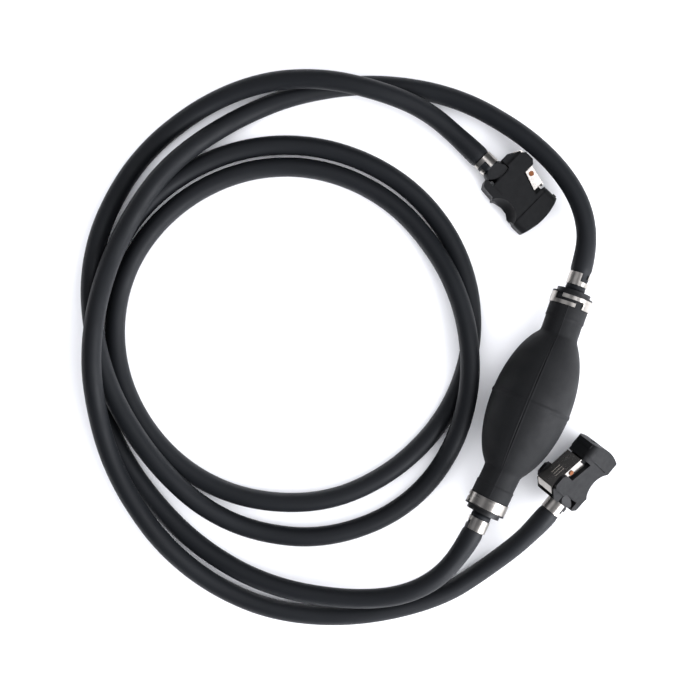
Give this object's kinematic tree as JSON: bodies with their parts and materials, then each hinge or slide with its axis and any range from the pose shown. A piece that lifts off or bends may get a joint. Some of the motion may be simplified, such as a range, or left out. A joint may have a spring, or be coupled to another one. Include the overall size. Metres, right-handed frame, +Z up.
{
  "type": "siphon bulb pump",
  "caption": "Hand-squeezed primer bulb with one-way valves, coiled inlet and outlet fuel hoses, ear clamps and a latching two-pin quick coupler on each hose.",
  "frame": {"origin": "on the plane that the assembly lies on, under the middle of the primer bulb", "axes": "+Y along the bulb towards the inlet (tank side), +X to the side that the tank coupler lies on, +Z up; fuel flows towards -Y through the bulb"},
  "size_m": [0.4633, 0.4534, 0.064],
  "materials": {
    "bulb_rubber": "satin moulded rubber",
    "hose_rubber": "satin extruded rubber",
    "seal_rubber": "smooth",
    "coupler_plastic": "fine moulded grain",
    "fitting_plastic": "moulded",
    "valve_plastic": "moulded acetal",
    "clamp_steel": "rolled stainless strip",
    "lever_steel": "polished stainless",
    "spring_steel": "drawn wire",
    "pin_copper": "copper-plated"
  },
  "bodies": {
    "root": {"bulb_shell": "bulb_rubber", "inlet_fitting": "fitting_plastic", "outlet_fitting": "fitting_plastic", "outlet_valve_seat": "fitting_plastic", "engine_coupler_barb_insert": "fitting_plastic", "tank_coupler_barb_insert": "fitting_plastic", "inlet_valve_cage": "valve_plastic", "outlet_valve_cage": "valve_plastic", "inlet_valve_spring": "spring_steel", "outlet_valve_spring": "spring_steel", "engine_coupler_latch_spring": "spring_steel", "tank_coupler_latch_spring": "spring_steel", "engine_coupler_port_spring": "spring_steel", "tank_coupler_port_spring": "spring_steel", "bulb_neck_clamps": "clamp_steel", "bulb_hose_clamps": "clamp_steel", "engine_coupler_hose_clamp": "clamp_steel", "tank_coupler_hose_clamp": "clamp_steel", "engine_coupler_body": "coupler_plastic", "tank_coupler_body": "coupler_plastic", "engine_coupler_latch_pin": "pin_copper", "tank_coupler_latch_pin": "pin_copper", "engine_coupler_port_o_ring": "seal_rubber", "tank_coupler_port_o_ring": "seal_rubber", "engine_hose": "hose_rubber", "tank_hose": "hose_rubber"},
    "squeezed_wall_right": {"bulb_wall_right": "bulb_rubber"},
    "squeezed_wall_left": {"bulb_wall_left": "bulb_rubber"},
    "inlet_valve": {"inlet_valve_poppet": "valve_plastic"},
    "outlet_valve": {"outlet_valve_poppet": "valve_plastic"},
    "engine_latch": {"engine_coupler_latch_lever": "lever_steel"},
    "tank_latch": {"tank_coupler_latch_lever": "lever_steel"},
    "engine_port_valve": {"engine_coupler_port_valve": "valve_plastic"},
    "tank_port_valve": {"tank_coupler_port_valve": "valve_plastic"}
  },
  "joints": [
    {"name": "bulb_squeeze", "type": "slide", "parent": "root", "child": "squeezed_wall_right", "axis": [-1, 0, 0], "range_m": [0, 0.008], "stiffness_N_per_m": 1500},
    {"name": "bulb_squeeze_left", "type": "slide", "parent": "root", "child": "squeezed_wall_left", "axis": [1, 0, 0], "range_m": [0, 0.008], "stiffness_N_per_m": 1500},
    {"name": "inlet_valve_lift", "type": "slide", "parent": "root", "child": "inlet_valve", "axis": [0.0523, -0.9986, 0], "range_m": [0, 0.003], "stiffness_N_per_m": 60, "springref_m": -0.002, "deforming": ["inlet_valve_spring"]},
    {"name": "outlet_valve_lift", "type": "slide", "parent": "root", "child": "outlet_valve", "axis": [-0.0523, -0.9986, 0], "range_m": [0, 0.003], "stiffness_N_per_m": 60, "springref_m": -0.002, "deforming": ["outlet_valve_spring"]},
    {"name": "engine_latch_lift", "type": "hinge", "parent": "root", "child": "engine_latch", "pos_m": [-0.06816, 0.17037, 0.0115], "axis": [0, 0, 1], "range_deg": [0, 13], "stiffness_Nm_per_rad": 1, "springref_deg": -5.73, "deforming": ["engine_coupler_latch_spring"]},
    {"name": "engine_port_valve_push", "type": "slide", "parent": "root", "child": "engine_port_valve", "axis": [-0.9278, 0.373, 0], "range_m": [0, 0.0035], "stiffness_N_per_m": 300, "springref_m": -0.002, "deforming": ["engine_coupler_port_spring"]},
    {"name": "tank_latch_lift", "type": "hinge", "parent": "root", "child": "tank_latch", "pos_m": [0.0436, -0.03662, 0.03427], "axis": [0.6747, -0.2115, 0.7071], "range_deg": [0, 13], "stiffness_Nm_per_rad": 1, "springref_deg": -5.73, "deforming": ["tank_coupler_latch_spring"]},
    {"name": "tank_port_valve_push", "type": "slide", "parent": "root", "child": "tank_port_valve", "axis": [-0.299, -0.9542, 0], "range_m": [0, 0.0035], "stiffness_N_per_m": 300, "springref_m": -0.002, "deforming": ["tank_coupler_port_spring"]}
  ],
  "couplings": [
    {"joint": "bulb_squeeze_left", "follows": "bulb_squeeze", "ratio": 1}
  ]
}
